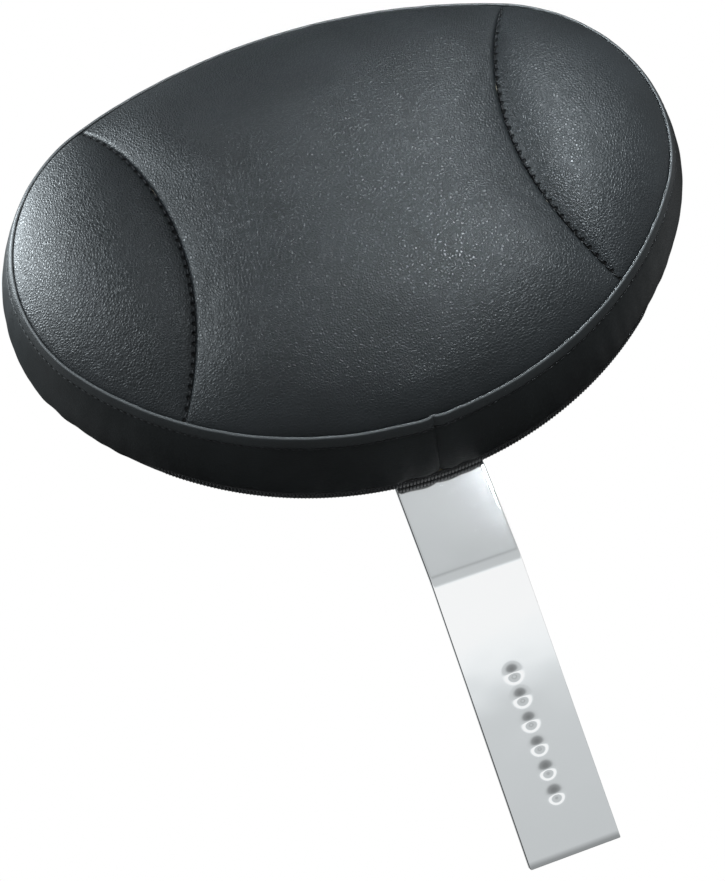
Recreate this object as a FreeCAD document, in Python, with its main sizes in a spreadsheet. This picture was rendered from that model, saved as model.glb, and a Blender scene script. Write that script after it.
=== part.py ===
"""Motorcycle driver backrest: a sewn, crowned pad on a bent flat steel post.

Millimetres and degrees. The post's lower end stands on the origin with its width along X, +Z is up
and the rider's side is -Y. Pad pieces are drawn in a pad frame of their own, X across, Y up the
reclined part of the post and Z towards the rider, with its origin at the pad's middle on its back.
"""
import FreeCAD, Part
import math
import os
import Sketcher
from collections import namedtuple

Vector = FreeCAD.Vector
ORIGIN = Vector(0, 0, 0)
ALONG_X = Vector(1, 0, 0)
ALONG_Z = Vector(0, 0, 1)

SIZES = {
    # flat steel post
    "post_width": 38.1,
    "post_thickness": 6.35,
    "post_bend_height": 118.0,
    "post_recline": 13.4,
    "post_bend_radius": 20.0,
    "post_upper_length": 152.0,
    "post_edge_radius": 0.8,
    # height stops pressed into the front of the post
    "notch_count": 6,
    "notch_pitch": 10.0,
    "notch_lowest": 24.3,
    "notch_diameter": 7.4,
    "notch_depth": 1.3,
    # outline of the pad: front rim and back edge
    "pad_middle": 160.0,
    "rim_height": 37.0,
    "rim_half_width": 141.0,
    "rim_top": 85.0,
    "rim_bottom": 106.0,
    "rim_side_radius": 72.0,
    "rear_half_width": 152.0,
    "rear_top": 95.0,
    "rear_bottom": 119.0,
    "rear_side_radius": 78.0,
    "swell_height": 16.0,
    "swell": 2.5,
    # sewn cover
    "cover_thickness": 1.2,
    "crown_height": 17.0,
    "crown_reach": 70.0,
    "crown_power": 3.2,
    "seam_offset": 194.6,
    "seam_drop": 7.7,
    "seam_radius": 123.2,
    "valley_depth": 6.5,
    "valley_width": 7.0,
    "valley_fade": 22.0,
    # foam block under the cover
    "foam_clearance": 0.15,
    "foam_groove_depth": 1.6,
    "foam_groove_width": 6.0,
    # grid that the front faces are drawn through
    "drape_spacing": 8.0,
    "drape_margin": 6.0,
    # stiff board inside the back
    "board_thickness": 9.5,
    "board_inset": 7.0,
    "board_edge_radius": 2.5,
    # zip along the lower back edge
    "zip_half_angle": 50.0,
    "zip_width": 6.0,
    "zip_parting": 0.4,
    "zip_tape_thickness": 0.6,
    "zip_rib_pitch": 1.5,
    "zip_rib_gap": 0.6,
    "zip_rib_rise": 1.5,
    "zip_web_rise": 0.5,
    "zip_rib_length": 4.6,
    # screws that hold the post to the board
    "screw_diameter": 6.35,
    "screw_lowest": 78.0,
    "screw_spacing": 50.0,
    "screw_hole_diameter": 7.0,
    "screw_head_diameter": 11.1,
    "screw_head_height": 3.4,
    "screw_crown_diameter": 6.1,
    "screw_shoulder_diameter": 9.5,
    "screw_shoulder_height": 2.1,
    "screw_rim_height": 0.6,
    "screw_point_diameter": 4.8,
    "screw_point_length": 0.8,
    "screw_tip_setback": 0.4,
    "socket_width": 4.0,
    "socket_depth": 2.2,
    "flat_washer_diameter": 14.3,
    "flat_washer_thickness": 1.2,
    "lock_washer_diameter": 12.4,
    "lock_washer_thickness": 1.6,
    "lock_washer_split": 1.0,
    "lock_washer_slant": 20.0,
    "washer_bore": 6.8,
    "nut_flange_diameter": 19.0,
    "nut_flange_thickness": 1.5,
    "nut_barrel_diameter": 8.2,
    "nut_barrel_length": 8.0,
}

doc = FreeCAD.newDocument("DriverBackrest")
sheet = doc.addObject("Spreadsheet::Sheet", "Sizes")
for row, (alias, value) in enumerate(SIZES.items(), start=1):
    sheet.set(f"A{row}", alias)
    sheet.set(f"B{row}", str(value))
    sheet.setAlias(f"B{row}", alias)
doc.recompute()


def size(alias):
    """Number in the sheet's cell of that name."""
    return float(sheet.get(alias))


# Shared drawing helpers

def plane(body, role):
    return next(feature for feature in body.Origin.OriginFeatures if feature.Role == role)


def new_body(label):
    body = doc.addObject("PartDesign::Body", label)
    body.Label = label
    return body


def new_sketch(body, name, role):
    sketch = body.newObject("Sketcher::SketchObject", name)
    sketch.AttachmentSupport = [(plane(body, role), "")]
    sketch.MapMode = "FlatFace"
    return sketch


def dimension(sketch, name, expression, *constraint):
    """Adds a named dimension to the sketch and binds it to the sheet."""
    index = sketch.addConstraint(Sketcher.Constraint(*constraint))
    sketch.renameConstraint(index, name)
    sketch.setExpression(f"Constraints.{name}", expression)


def pad_feature(body, sketch, expression, name="Pad"):
    feature = body.newObject("PartDesign::Pad", name)
    feature.Profile = sketch
    feature.setExpression("Length", expression)
    return feature


# The pad's outline: two flat arcs joined to two side arcs, all tangent

Oval = namedtuple("Oval", "half_width top bottom side_radius")
SIDE_SHARE = 0.95
RIM = Oval(*(size(f"rim_{field}") for field in Oval._fields))
REAR = Oval(*(size(f"rear_{field}") for field in Oval._fields))


def inset(oval, distance):
    return Oval(*(value - distance for value in oval))


def side_radius_of(oval):
    """Side radius, kept below both heights as a fillet is kept inside its walls."""
    return min(oval.side_radius, SIDE_SHARE * oval.top, SIDE_SHARE * oval.bottom)


def flat_radius(oval, reach):
    """Radius of the top or bottom arc that touches both side arcs."""
    side = side_radius_of(oval)
    return ((oval.half_width - side) ** 2 + reach ** 2 - side ** 2) / (2 * (reach - side))


def oval_arcs(oval):
    """Centre x, centre y, radius, first and last angle of the right, top, left and bottom arc."""
    side = side_radius_of(oval)
    side_x = oval.half_width - side
    top = flat_radius(oval, oval.top)
    bottom = flat_radius(oval, oval.bottom)
    top_angle = math.atan2(top - oval.top, side_x)
    bottom_angle = math.atan2(bottom - oval.bottom, side_x)
    return [
        (side_x, 0, side, -bottom_angle, top_angle),
        (0, oval.top - top, top, top_angle, math.pi - top_angle),
        (-side_x, 0, side, math.pi - top_angle, math.pi + bottom_angle),
        (0, bottom - oval.bottom, bottom, math.pi + bottom_angle, 2 * math.pi - bottom_angle),
    ]


def oval_wire(oval, height):
    edges = []
    for x, y, radius, first, last in oval_arcs(oval):
        circle = Part.Circle(Vector(x, y, height), ALONG_Z, radius)
        edges.append(Part.Arc(circle, first, last).toShape())
    return Part.Wire(edges)


def oval_sketch(body, name, margin):
    """Sketch of the back outline drawn in by the margin, an expression of the sheet's cells."""
    sketch = new_sketch(body, name, "XY_Plane")
    for x, y, radius, first, last in oval_arcs(REAR):
        circle = Part.Circle(Vector(x, y, 0), ALONG_Z, radius)
        sketch.addGeometry(Part.ArcOfCircle(circle, first, last), False)
    for arc in range(4):
        sketch.addConstraint(Sketcher.Constraint("Tangent", arc, 2, (arc + 1) % 4, 1))
    sketch.addConstraint(Sketcher.Constraint("PointOnObject", 1, 3, -2))
    sketch.addConstraint(Sketcher.Constraint("PointOnObject", 3, 3, -2))
    sketch.addConstraint(Sketcher.Constraint("PointOnObject", 0, 3, -1))
    sketch.addConstraint(Sketcher.Constraint("Equal", 0, 2))
    width = f"(Sizes.rear_half_width - {margin})"
    top = f"(Sizes.rear_top - {margin})"
    bottom = f"(Sizes.rear_bottom - {margin})"
    side = f"min(Sizes.rear_side_radius - {margin}; {SIDE_SHARE} * {top}; {SIDE_SHARE} * {bottom})"
    flat = "(({0} - {1})^2 + {2}^2 - {1}^2) / (2 * ({2} - {1}))"
    right = oval_arcs(REAR)[0]
    dimension(sketch, "side", side, "Radius", 0, right[2])
    dimension(sketch, "spread", f"{width} - {side}", "DistanceX", -1, 1, 0, 3, right[0])
    dimension(sketch, "top", flat.format(width, side, top), "Radius", 1, flat_radius(REAR, REAR.top))
    dimension(sketch, "bottom", flat.format(width, side, bottom), "Radius", 3,
              flat_radius(REAR, REAR.bottom))
    return sketch


def pad_frame():
    """Where the pad's own frame stands on the reclined part of the post."""
    recline = math.radians(size("post_recline"))
    reach = size("pad_middle")
    front = -size("post_thickness") / 2
    base = Vector(0, front + reach * math.sin(recline), size("post_bend_height") + reach * math.cos(recline))
    return FreeCAD.Placement(base, FreeCAD.Rotation(ALONG_X, 90 - size("post_recline")))


PAD = pad_frame()
SCREW_YS = [size("screw_lowest") - size("pad_middle") + step * size("screw_spacing") for step in range(2)]


# Steel post: a bent side profile padded to the bar's width, with rounded long edges

def post_profile(body):
    thickness = size("post_thickness")
    inner = size("post_bend_radius")
    outer = inner + thickness
    recline = math.radians(size("post_recline"))
    run = outer * math.tan(recline / 2)
    bend_low = size("post_bend_height") - run
    straight = size("post_upper_length") - run
    centre = Vector(-thickness / 2 + outer, bend_low, 0)
    up = Vector(math.sin(recline), math.cos(recline), 0)
    back = Vector(math.cos(recline), -math.sin(recline), 0)
    front_low = Vector(-thickness / 2, 0, 0)
    front_bend = Vector(-thickness / 2, bend_low, 0)
    front_turn = centre - back * outer
    front_top = front_turn + up * straight
    rear_turn = centre - back * inner
    rear_top = rear_turn + up * straight
    rear_bend = Vector(thickness / 2, bend_low, 0)
    rear_low = Vector(thickness / 2, 0, 0)
    sketch = new_sketch(body, "PostProfile", "YZ_Plane")
    lowest = math.pi - recline
    front_arc = Part.ArcOfCircle(Part.Circle(centre, ALONG_Z, outer), lowest, math.pi)
    rear_arc = Part.ArcOfCircle(Part.Circle(centre, ALONG_Z, inner), lowest, math.pi)
    sketch.addGeometry(Part.LineSegment(rear_low, front_low), False)
    sketch.addGeometry(Part.LineSegment(front_low, front_bend), False)
    sketch.addGeometry(front_arc, False)
    sketch.addGeometry(Part.LineSegment(front_turn, front_top), False)
    sketch.addGeometry(Part.LineSegment(front_top, rear_top), False)
    sketch.addGeometry(Part.LineSegment(rear_top, rear_turn), False)
    sketch.addGeometry(rear_arc, False)
    sketch.addGeometry(Part.LineSegment(rear_bend, rear_low), False)
    for first, first_end, second, second_end in ((0, 2, 1, 1), (3, 2, 4, 1), (4, 2, 5, 1), (7, 2, 0, 1)):
        sketch.addConstraint(Sketcher.Constraint("Coincident", first, first_end, second, second_end))
    for line, line_end, arc, arc_end in ((1, 2, 2, 2), (3, 1, 2, 1), (5, 2, 6, 1), (7, 1, 6, 2)):
        sketch.addConstraint(Sketcher.Constraint("Tangent", line, line_end, arc, arc_end))
    sketch.addConstraint(Sketcher.Constraint("Coincident", 2, 3, 6, 3))
    sketch.addConstraint(Sketcher.Constraint("Horizontal", 0))
    sketch.addConstraint(Sketcher.Constraint("Vertical", 1))
    sketch.addConstraint(Sketcher.Constraint("Perpendicular", 3, 4))
    sketch.addConstraint(Sketcher.Constraint("Symmetric", 0, 1, 0, 2, -1, 1))
    turn = "(Sizes.post_bend_radius + Sizes.post_thickness) * tan(Sizes.post_recline / 2)"
    dimension(sketch, "thickness", "Sizes.post_thickness", "DistanceX", 0, 2, 0, 1, thickness)
    dimension(sketch, "bend", "Sizes.post_bend_radius", "Radius", 6, inner)
    dimension(sketch, "lower", f"Sizes.post_bend_height - {turn}", "DistanceY", 1, 1, 1, 2, bend_low)
    dimension(sketch, "upper", f"Sizes.post_upper_length - {turn}", "Distance", 3, straight)
    dimension(sketch, "sweep", "Sizes.post_recline * 1 deg", "Angle", 3, 1, 1, 1, recline)
    return sketch


def post_notch(body):
    """Dished height stop: an arc turned about an axis square to the post's front."""
    front = -size("post_thickness") / 2
    middle = size("notch_lowest")
    half = size("notch_diameter") / 2
    depth = size("notch_depth")
    sketch = new_sketch(body, "NotchProfile", "YZ_Plane")
    mouth = Vector(front, middle + half, 0)
    floor = Vector(front + depth, middle, 0)
    axis = Vector(front, middle, 0)
    curve = (half ** 2 + depth ** 2) / (2 * depth)
    centre = Vector(front + depth - curve, middle, 0)
    spread = math.asin(half / curve)
    sketch.addGeometry(Part.LineSegment(floor, axis), False)
    sketch.addGeometry(Part.LineSegment(axis, mouth), False)
    sketch.addGeometry(Part.ArcOfCircle(Part.Circle(centre, ALONG_Z, curve), 0, spread), False)
    for first, first_end, second, second_end in ((0, 2, 1, 1), (1, 2, 2, 2), (2, 1, 0, 1)):
        sketch.addConstraint(Sketcher.Constraint("Coincident", first, first_end, second, second_end))
    sketch.addConstraint(Sketcher.Constraint("Horizontal", 0))
    sketch.addConstraint(Sketcher.Constraint("Vertical", 1))
    dimension(sketch, "front", "Sizes.post_thickness / 2", "DistanceX", 1, 1, -1, 1, -front)
    dimension(sketch, "height", "Sizes.notch_lowest", "DistanceY", -1, 1, 1, 1, middle)
    dimension(sketch, "half", "Sizes.notch_diameter / 2", "DistanceY", 1, 1, 1, 2, half)
    dimension(sketch, "depth", "Sizes.notch_depth", "DistanceX", 0, 2, 0, 1, depth)
    curve_rule = "((Sizes.notch_diameter / 2)^2 + Sizes.notch_depth^2) / (2 * Sizes.notch_depth)"
    dimension(sketch, "curve", curve_rule, "Radius", 2, curve)
    groove = body.newObject("PartDesign::Groove", "Notch")
    groove.Profile = sketch
    groove.ReferenceAxis = (sketch, ["Edge1"])
    groove.Angle = 360
    pattern = body.newObject("PartDesign::LinearPattern", "Notches")
    pattern.Originals = [groove]
    pattern.Direction = (plane(body, "Z_Axis"), [""])
    pattern.setExpression("Length", "Sizes.notch_pitch * (Sizes.notch_count - 1)")
    pattern.setExpression("Occurrences", "Sizes.notch_count")
    body.Tip = pattern
    return pattern


def post_screw_hole(body, name, reach):
    """Round hole square through the reclined part, at an expression's reach above the bend."""
    radius = size("screw_hole_diameter") / 2
    bend = Vector(0, size("post_bend_height"), size("post_thickness") / 2)
    sketch = new_sketch(body, name + "Profile", "XZ_Plane")
    sketch.AttachmentOffset = FreeCAD.Placement(bend, FreeCAD.Rotation(ALONG_X, -size("post_recline")))
    sketch.setExpression("AttachmentOffset.Base.y", "Sizes.post_bend_height")
    sketch.setExpression("AttachmentOffset.Base.z", "Sizes.post_thickness / 2")
    sketch.setExpression("AttachmentOffset.Rotation.Angle", "-Sizes.post_recline")
    sketch.addGeometry(Part.Circle(Vector(0, size("screw_lowest"), 0), ALONG_Z, radius), False)
    sketch.addConstraint(Sketcher.Constraint("PointOnObject", 0, 3, -2))
    dimension(sketch, "radius", "Sizes.screw_hole_diameter / 2", "Radius", 0, radius)
    dimension(sketch, "reach", reach, "DistanceY", -1, 1, 0, 3, size("screw_lowest"))
    hole = body.newObject("PartDesign::Pocket", name)
    hole.Profile = sketch
    hole.Type = "ThroughAll"
    hole.Midplane = True
    return hole


def check_cut(label, before, after):
    """Stops the build where a pocket or groove took nothing away."""
    if after >= before:
        raise RuntimeError(f"{label} cut nothing")


def post_bar():
    body = new_body("post_bar")
    bar = pad_feature(body, post_profile(body), "Sizes.post_width")
    bar.SideType = "Symmetric"
    doc.recompute()
    half = size("post_width") / 2
    rims = []
    for number, edge in enumerate(bar.Shape.Edges, start=1):
        on_side = all(abs(abs(vertex.X) - half) < 1e-6 for vertex in edge.Vertexes)
        if on_side and edge.BoundBox.XLength < half:
            rims.append(f"Edge{number}")
    fillet = body.newObject("PartDesign::Fillet", "RolledEdges")
    fillet.Base = (bar, rims)
    fillet.setExpression("Radius", "Sizes.post_edge_radius")
    doc.recompute()
    notches = post_notch(body)
    doc.recompute()
    check_cut("Notches", fillet.Shape.Volume, notches.Shape.Volume)
    for step, name in enumerate(("LowerHole", "UpperHole")):
        before = body.Tip.Shape.Volume
        hole = post_screw_hole(body, name, f"Sizes.screw_lowest + {step} * Sizes.screw_spacing")
        doc.recompute()
        check_cut(name, before, hole.Shape.Volume)
    return body


# Board and back panel: flat ovals inside the back of the cover, drilled for the screws

def drilled_oval(label, margin, thickness, rise, bore):
    """Oval plate with two holes; margin, thickness, rise and bore are expressions."""
    body = new_body(label)
    pad_feature(body, oval_sketch(body, label + "_outline", margin), thickness)
    doc.recompute()
    holes = new_sketch(body, label + "_holes", "XY_Plane")
    for step, y in enumerate(SCREW_YS):
        holes.addGeometry(Part.Circle(Vector(0, y, 0), ALONG_Z, 1), False)
        holes.addConstraint(Sketcher.Constraint("PointOnObject", step, 3, -2))
        place = f"Sizes.pad_middle - Sizes.screw_lowest - {step} * Sizes.screw_spacing"
        dimension(holes, f"drop{step}", place, "DistanceY", step, 3, -1, 1, -y)
        dimension(holes, f"bore{step}", bore, "Radius", step, 1)
    pocket = body.newObject("PartDesign::Pocket", label + "_drilled")
    pocket.Profile = holes
    pocket.Type = "ThroughAll"
    pocket.Midplane = True
    lift = FreeCAD.Placement(Vector(0, 0, rise), FreeCAD.Rotation())
    body.Placement = PAD.multiply(lift)
    doc.recompute()
    return body


def pad_board():
    body = drilled_oval("pad_board", "Sizes.board_inset", "Sizes.board_thickness",
                        size("cover_thickness"), "Sizes.nut_barrel_diameter / 2")
    drilled = body.Tip
    wanted = size("board_thickness")
    radius = size("nut_barrel_diameter")
    edges = []
    for number, edge in enumerate(drilled.Shape.Edges, start=1):
        level = edge.BoundBox.ZMax
        if edge.BoundBox.ZLength < 1e-6 and abs(level - wanted) < 1e-6 and edge.Curve.Radius > radius:
            edges.append(f"Edge{number}")
    fillet = body.newObject("PartDesign::Fillet", "BoardEdge")
    fillet.Base = (drilled, edges)
    fillet.setExpression("Radius", "Sizes.board_edge_radius")
    doc.recompute()
    return body


def cover_back_panel():
    return drilled_oval("cover_back_panel", "Sizes.cover_thickness", "Sizes.cover_thickness",
                        0, "Sizes.screw_hole_diameter / 2")


# Soft pieces: the space inside the cover, the crowned front and the foam that fills them

def free_shape(label, shape):
    feature = doc.addObject("Part::Feature", label)
    feature.Label = label
    feature.Shape = shape
    feature.Placement = PAD
    return feature


def swell_oval():
    """Outline where the side band stands out furthest, part way from the back to the rim."""
    share = size("swell_height") / size("rim_height")
    pairs = zip(REAR, RIM)
    return Oval(*(rear + (rim - rear) * share + size("swell") for rear, rim in pairs))


def side_loft(margin):
    """Solid between the back and the rim, its outline drawn in by the margin."""
    sections = [
        oval_wire(inset(REAR, margin), 0),
        oval_wire(inset(swell_oval(), margin), size("swell_height")),
        oval_wire(inset(RIM, margin), size("rim_height")),
    ]
    return Part.makeLoft(sections, True, False)


def rim_depth(x, y):
    """Distance of a point in from the rim, negative outside it."""
    right, top, _, bottom = oval_arcs(RIM)
    flat = top if y >= 0 else bottom
    across = abs(x)
    sideways = math.atan2(abs(y - flat[1]), across) < math.atan2(abs(flat[1]), right[0])
    x_centre, y_centre, radius = (right if sideways else flat)[:3]
    return radius - math.hypot(across - x_centre, y - y_centre)


def crown(x, y):
    """Height of the front over the rim before the seams pull it in."""
    depth = min(rim_depth(x, y), size("crown_reach"))
    return size("crown_height") * (1 - (1 - depth / size("crown_reach")) ** size("crown_power"))


def seam_distance(x, y, side):
    """Distance outside the seam's circle on the right (side 1) or the left (side -1)."""
    return math.hypot(x - side * size("seam_offset"), y + size("seam_drop")) - size("seam_radius")


def valley(distance, x, y):
    """How far a seam pulls the cover in, fading out towards the rim."""
    fade = 1 - math.exp(-max(rim_depth(x, y), 0) / size("valley_fade"))
    return fade * size("valley_depth") * 2 / (1 + math.exp(distance / size("valley_width")))


def centre_height(x, y):
    pulls = valley(seam_distance(x, y, 1), x, y) + valley(seam_distance(x, y, -1), x, y)
    return size("rim_height") + crown(x, y) - pulls


def wing_height(x, y):
    return size("rim_height") + crown(x, y) - valley(-seam_distance(x, y, 1), x, y)


def foam_height(x, y):
    """Foam under the panels, with a groove under each seam for its turned-in edges."""
    distance = seam_distance(abs(x), y, 1)
    skin = wing_height(abs(x), y) if distance < 0 else centre_height(x, y)
    groove = size("foam_groove_depth") * math.exp(-(distance / size("foam_groove_width")) ** 2)
    return skin - size("cover_thickness") - size("foam_clearance") - groove


def draped_face(height, x_range, y_range, spacing):
    """Smooth face through the heights over a grid."""
    columns = round((x_range[1] - x_range[0]) / spacing)
    rows = round((y_range[1] - y_range[0]) / spacing)
    grid = []
    for column in range(columns + 1):
        x = x_range[0] + (x_range[1] - x_range[0]) * column / columns
        line = []
        for row in range(rows + 1):
            y = y_range[0] + (y_range[1] - y_range[0]) * row / rows
            line.append(Vector(x, y, height(x, y)))
        grid.append(line)
    surface = Part.BSplineSurface()
    surface.interpolate(grid)
    return surface.toShape()


def soft_pieces(board):
    """Three front panels, the side band and the foam."""
    thickness = size("cover_thickness")
    rim_height = size("rim_height")
    head_room = size("crown_height") + rim_height
    margin = size("drape_margin")
    spacing = size("drape_spacing")
    inside = side_loft(thickness)
    above = Part.Face(oval_wire(inset(RIM, thickness), rim_height)).extrude(ALONG_Z * head_room)
    inside = inside.fuse(above)
    seam_column = Part.makeCylinder(
        size("seam_radius"), 3 * head_room, Vector(size("seam_offset"), -size("seam_drop"), -head_room))
    opposite = seam_column.mirror(ORIGIN, ALONG_X)
    wing_space = inside.common(seam_column)
    centre_space = inside.cut(seam_column).cut(opposite)
    y_range = (-REAR.bottom - margin, REAR.top + margin)
    apex = size("seam_offset") - size("seam_radius")
    centre_range = (-REAR.half_width + margin, REAR.half_width - margin)
    wing_range = (apex - 2 * margin, REAR.half_width + margin)

    def panel(height, x_range, space):
        outer = draped_face(height, x_range, y_range, spacing)
        return outer.extrude(ALONG_Z * -thickness).common(space)

    centre_panel = panel(centre_height, centre_range, centre_space)
    right_panel = panel(wing_height, wing_range, wing_space)
    left_panel = right_panel.mirror(ORIGIN, ALONG_X)
    whole_range = (-REAR.half_width - margin, REAR.half_width + margin)
    foam_front = draped_face(foam_height, whole_range, y_range, spacing)
    foam = foam_front.extrude(ALONG_Z * -2 * head_room).common(inside)
    back_space = Part.Face(oval_wire(REAR, -thickness)).extrude(ALONG_Z * 2 * thickness)
    foam = foam.cut(back_space)
    lift = FreeCAD.Placement(Vector(0, 0, thickness), FreeCAD.Rotation())
    local_board = board.Tip.Shape.copy()
    local_board.Placement = lift
    foam = foam.cut(local_board)
    front_of_board = thickness + size("board_thickness")
    for y in SCREW_YS:
        bore = size("nut_barrel_diameter") / 2
        foam = foam.cut(Part.makeCylinder(bore, front_of_board, Vector(0, y, 0)))
        flange = size("nut_flange_diameter") / 2
        seat = Part.makeCylinder(flange, size("nut_flange_thickness"), Vector(0, y, front_of_board))
        foam = foam.cut(seat)
    reach = 2 * thickness + size("zip_rib_rise")
    foam = foam.cut(zip_sector(0, size("zip_width"), -size("foam_clearance"), reach))
    band = side_loft(0).cut(side_loft(thickness))
    band = band.cut(zip_sector(0, size("zip_width"), -2 * thickness, 2 * thickness))
    return [
        free_shape("cover_centre_panel", centre_panel),
        free_shape("cover_right_panel", right_panel),
        free_shape("cover_left_panel", left_panel),
        free_shape("cover_side_band", band),
        free_shape("pad_foam", foam.removeSplitter()),
    ]


# Zip along the lower back edge: two tapes and a closed chain of coil ribs, on the bottom arc

def zip_arc():
    """Centre and radius of the back outline's bottom arc, on the cover's inner face."""
    _, y, radius, _, _ = oval_arcs(REAR)[3]
    return Vector(0, y, 0), radius - size("cover_thickness")


def zip_sector(low, high, inner_step, outer_step):
    """Curved strip from height low to high, its faces stepped out from the cover's inner face."""
    centre, radius = zip_arc()
    half = size("zip_half_angle")
    start = Vector(centre.x, centre.y, low)
    outer = Part.makeCylinder(radius + outer_step, high - low, start, ALONG_Z, 2 * half)
    inner = Part.makeCylinder(radius + inner_step, high - low, start, ALONG_Z, 2 * half)
    for cylinder in (outer, inner):
        cylinder.rotate(centre, ALONG_Z, -90 - half)
    return outer.cut(inner)


def zip_coil():
    """Closed chain: one strip with a rib at each pitch, extruded across both tapes."""
    centre, radius = zip_arc()
    root = radius + size("zip_tape_thickness")
    crest = root + size("zip_rib_rise")
    floor = root + size("zip_web_rise")
    half = math.radians(size("zip_half_angle"))
    count = int(2 * half * root / size("zip_rib_pitch"))
    step = 2 * half / count
    gap = step * size("zip_rib_gap") / size("zip_rib_pitch")
    first = -math.pi / 2 - half
    low = (size("zip_width") - size("zip_rib_length")) / 2

    def point(distance, angle):
        return centre + Vector(distance * math.cos(angle), distance * math.sin(angle), low)

    outline = []
    for rib in range(count):
        angle = first + rib * step
        outline += [point(floor, angle), point(floor, angle + gap)]
        outline += [point(crest, angle + gap), point(crest, angle + step)]
    outline += [point(root, first + count * step)]
    back = [point(root, first + rib * step) for rib in range(count - 1, -1, -1)]
    wire = Part.makePolygon(outline + back + outline[:1])
    return Part.Face(wire).extrude(ALONG_Z * size("zip_rib_length"))


def zip_pieces():
    middle = size("zip_width") / 2
    parting = size("zip_parting") / 2
    tape = size("zip_tape_thickness")
    return [
        free_shape("zip_front_tape", zip_sector(middle + parting, size("zip_width"), 0, tape)),
        free_shape("zip_back_tape", zip_sector(0, middle - parting, 0, tape)),
        free_shape("zip_coil", zip_coil()),
    ]


# Fasteners: each is turned once about its own axis and set at both holes

def turned_master(label, corners):
    """Body turned from a closed profile, whose corners are expressions of (radius, height)."""
    body = new_body(label)
    sketch = new_sketch(body, label + "_profile", "XZ_Plane")
    places = [[float(sheet.evalExpression(rule)) for rule in corner] for corner in corners]
    count = len(places)
    for step in range(count):
        start, end = Vector(*places[step], 0), Vector(*places[(step + 1) % count], 0)
        sketch.addGeometry(Part.LineSegment(start, end), False)
    for step in range(count):
        sketch.addConstraint(Sketcher.Constraint("Coincident", step, 2, (step + 1) % count, 1))
    for step, (rules, place) in enumerate(zip(corners, places)):
        for axis, kind, rule, value in zip((-2, -1), ("DistanceX", "DistanceY"), rules, place):
            if rule == "0":
                sketch.addConstraint(Sketcher.Constraint("PointOnObject", step, 1, axis))
            else:
                dimension(sketch, f"{kind}_{step}", rule, kind, -1, 1, step, 1, value)
    turned = body.newObject("PartDesign::Revolution", label + "_turned")
    turned.Profile = sketch
    turned.ReferenceAxis = (sketch, ["V_Axis"])
    turned.Angle = 360
    doc.recompute()
    return body


def group(label, shape, height):
    """The same piece at both screw holes, its own zero at the given height on the pad's frame."""
    copies = []
    for y in SCREW_YS:
        copies.append(shape.copy().translated(Vector(0, y, height)))
    return free_shape(label, Part.makeCompound(copies))


def screw_head_height():
    return -size("post_thickness") - size("flat_washer_thickness") - size("lock_washer_thickness")


def post_screws():
    """Button-head screws, turned from the crown of the head to the point, with a hex socket."""
    grip = "Sizes.post_thickness + Sizes.flat_washer_thickness + Sizes.lock_washer_thickness"
    board = "Sizes.cover_thickness + Sizes.board_thickness"
    tip = f"{grip} + {board} - Sizes.screw_tip_setback"
    body = turned_master("post_screw", [
        ("0", "-Sizes.screw_head_height"),
        ("Sizes.screw_crown_diameter / 2", "-Sizes.screw_head_height"),
        ("Sizes.screw_shoulder_diameter / 2", "-Sizes.screw_shoulder_height"),
        ("Sizes.screw_head_diameter / 2", "-Sizes.screw_rim_height"),
        ("Sizes.screw_head_diameter / 2", "0"),
        ("Sizes.screw_diameter / 2", "0"),
        ("Sizes.screw_diameter / 2", f"{tip} - Sizes.screw_point_length"),
        ("Sizes.screw_point_diameter / 2", tip),
        ("0", tip),
    ])
    across = size("socket_width") / math.sqrt(3)
    corners = []
    for step in range(7):
        turn = math.radians(60 * step)
        corners.append(Vector(across * math.cos(turn), across * math.sin(turn), -size("screw_head_height")))
    socket = Part.Face(Part.makePolygon(corners)).extrude(ALONG_Z * size("socket_depth"))
    return group("post_screws", body.Shape.cut(socket), screw_head_height())


def washer(name):
    """Plain ring whose diameter and thickness are the sheet's cells of that name."""
    bore, rim, top = "Sizes.washer_bore / 2", f"Sizes.{name}_diameter / 2", f"Sizes.{name}_thickness"
    return turned_master(name, [(bore, "0"), (rim, "0"), (rim, top), (bore, top)])


def washers():
    """A flat washer on the post and a split one under each screw head."""
    lock_thickness = size("lock_washer_thickness")
    lock_radius = size("lock_washer_diameter") / 2
    split = size("lock_washer_split")
    slot = Part.makeBox(lock_radius, split, 3 * lock_thickness, Vector(0, -split / 2, -lock_thickness))
    slot.rotate(Vector(0, 0, lock_thickness / 2), ALONG_X, size("lock_washer_slant"))
    under = screw_head_height()
    return [
        group("flat_washers", washer("flat_washer").Shape, under + lock_thickness),
        group("lock_washers", washer("lock_washer").Shape.cut(slot), under),
    ]


def tee_nuts():
    """Flanged nuts pressed into the board from the front."""
    bore, barrel = "Sizes.screw_diameter / 2", "Sizes.nut_barrel_diameter / 2"
    flange, end = "Sizes.nut_flange_diameter / 2", "-Sizes.nut_barrel_length"
    thick = "Sizes.nut_flange_thickness"
    corners = [(bore, end), (barrel, end), (barrel, "0"), (flange, "0"), (flange, thick), (bore, thick)]
    body = turned_master("tee_nut", corners)
    return group("tee_nuts", body.Shape, size("cover_thickness") + size("board_thickness"))


# Build, check and write every piece

board_body = pad_board()
nodes = [post_bar(), board_body, cover_back_panel()]
nodes += soft_pieces(board_body)
nodes += zip_pieces()
nodes += [post_screws(), *washers(), tee_nuts()]
doc.recompute()

for item in doc.Objects:
    if "Invalid" in item.State or "Error" in item.State:
        raise RuntimeError(f"{item.Label} did not build: {item.State}")
for node in nodes:
    if node.Shape.isNull() or not node.Shape.isValid():
        raise RuntimeError(f"{node.Label} has no valid shape")
os.makedirs("parts", exist_ok=True)
for node in nodes:
    node.Shape.exportStep(f"parts/{node.Label}.step")
    solids = len(node.Shape.Solids)
    print(node.Label, "solids", solids, "volume", round(node.Shape.Volume, 1), "mm3")
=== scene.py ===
import math

import bmesh
import bpy
from mathutils import Euler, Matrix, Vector, noise


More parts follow.
